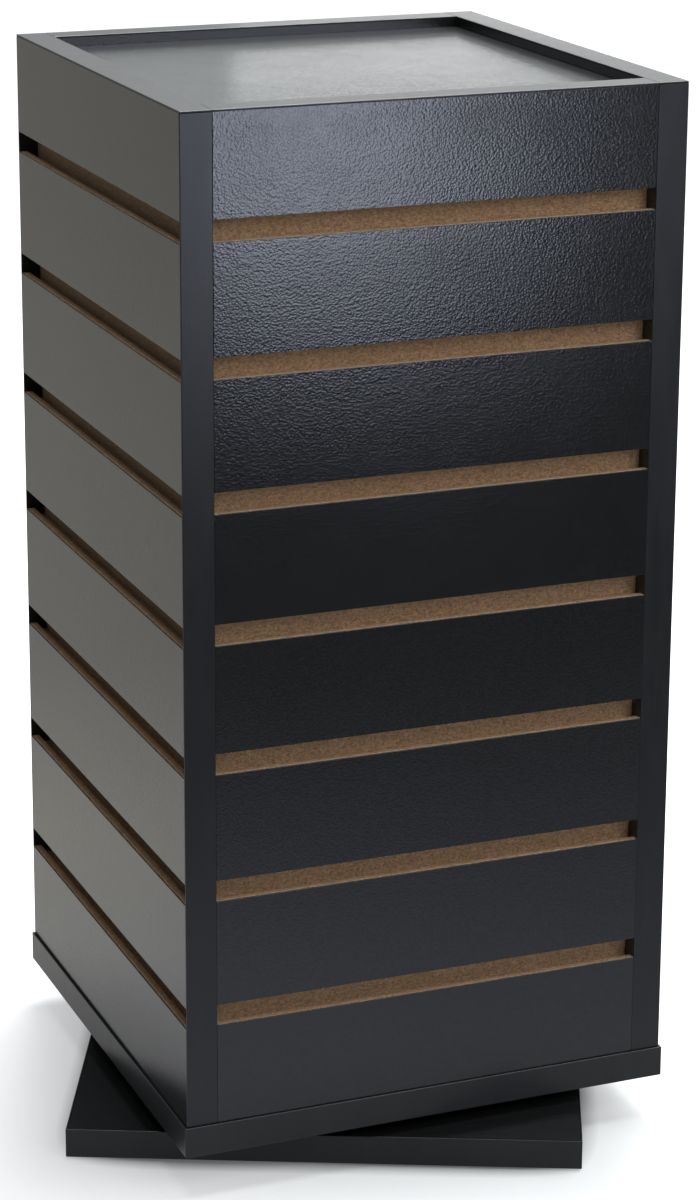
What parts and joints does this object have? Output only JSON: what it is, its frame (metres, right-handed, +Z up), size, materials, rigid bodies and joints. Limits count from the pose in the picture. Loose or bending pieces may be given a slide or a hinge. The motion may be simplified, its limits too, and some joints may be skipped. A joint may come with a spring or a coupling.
{
  "type": "revolving slatwall tower",
  "caption": "Square counter-top slatwall tower with T-grooved panels on all four sides and a recessed top, turning on a ball-bearing turntable above a square base board.",
  "frame": {"origin": "on the counter top, on the turntable's axis, at the middle of the base's footprint", "axes": "+Z up along the turntable's axis; the tower's front face looks along -Y and its left face along -X at rest; the base board is turned -24.2 degrees about +Z to the tower"},
  "size_m": [0.4046, 0.4046, 0.6362],
  "materials": {
    "mdf": "matte",
    "textured_laminate": "satin",
    "plain_backer": "matte",
    "edge_band": "satin",
    "pad_rubber": "matte",
    "zinc_plate": "satin",
    "zinc_screw": "satin",
    "bearing_steel": "polished",
    "cage_nylon": "satin",
    "cast_zinc": "satin",
    "dowel_wood": "matte",
    "cleat_wood": "matte"
  },
  "bodies": {
    "base": {"rubber_pads": "pad_rubber", "base_core": "mdf", "base_top_laminate": "textured_laminate", "base_bottom_laminate": "plain_backer", "base_edge_bands": "edge_band", "turntable_lower_plate": "zinc_plate", "turntable_lower_screws": "zinc_screw"},
    "ball_set": {"ball_cage": "cage_nylon", "bearing_balls": "bearing_steel"},
    "tower": {"turntable_upper_plate": "zinc_plate", "turntable_upper_screws": "zinc_screw", "deck_core": "mdf", "deck_top_laminate": "textured_laminate", "deck_bottom_laminate": "plain_backer", "deck_edge_bands": "edge_band", "deck_screws": "zinc_screw", "front_panel_core": "mdf", "front_panel_laminate": "textured_laminate", "front_panel_backer": "plain_backer", "front_panel_edge_band": "edge_band", "rear_panel_core": "mdf", "rear_panel_laminate": "textured_laminate", "rear_panel_backer": "plain_backer", "rear_panel_edge_band": "edge_band", "left_panel_core": "mdf", "left_panel_laminate": "textured_laminate", "left_panel_backer": "plain_backer", "left_panel_edge_bands": "edge_band", "right_panel_core": "mdf", "right_panel_laminate": "textured_laminate", "right_panel_backer": "plain_backer", "right_panel_edge_bands": "edge_band", "top_panel_core": "mdf", "top_panel_laminate": "textured_laminate", "top_panel_backer": "plain_backer", "top_cleats": "cleat_wood", "cleat_screws": "zinc_screw", "joint_dowels": "dowel_wood", "cam_discs": "cast_zinc", "cam_bolts": "zinc_screw"}
  },
  "joints": [
    {"name": "turntable_spin", "type": "hinge", "parent": "base", "child": "tower", "pos_m": [0, 0, 0.02305], "axis": [0, 0, 1], "continuous": true},
    {"name": "ball_set_roll", "type": "hinge", "parent": "base", "child": "ball_set", "pos_m": [0, 0, 0.02305], "axis": [0, 0, 1], "continuous": true}
  ],
  "couplings": [
    {"joint": "ball_set_roll", "follows": "turntable_spin", "ratio": 0.5182}
  ]
}
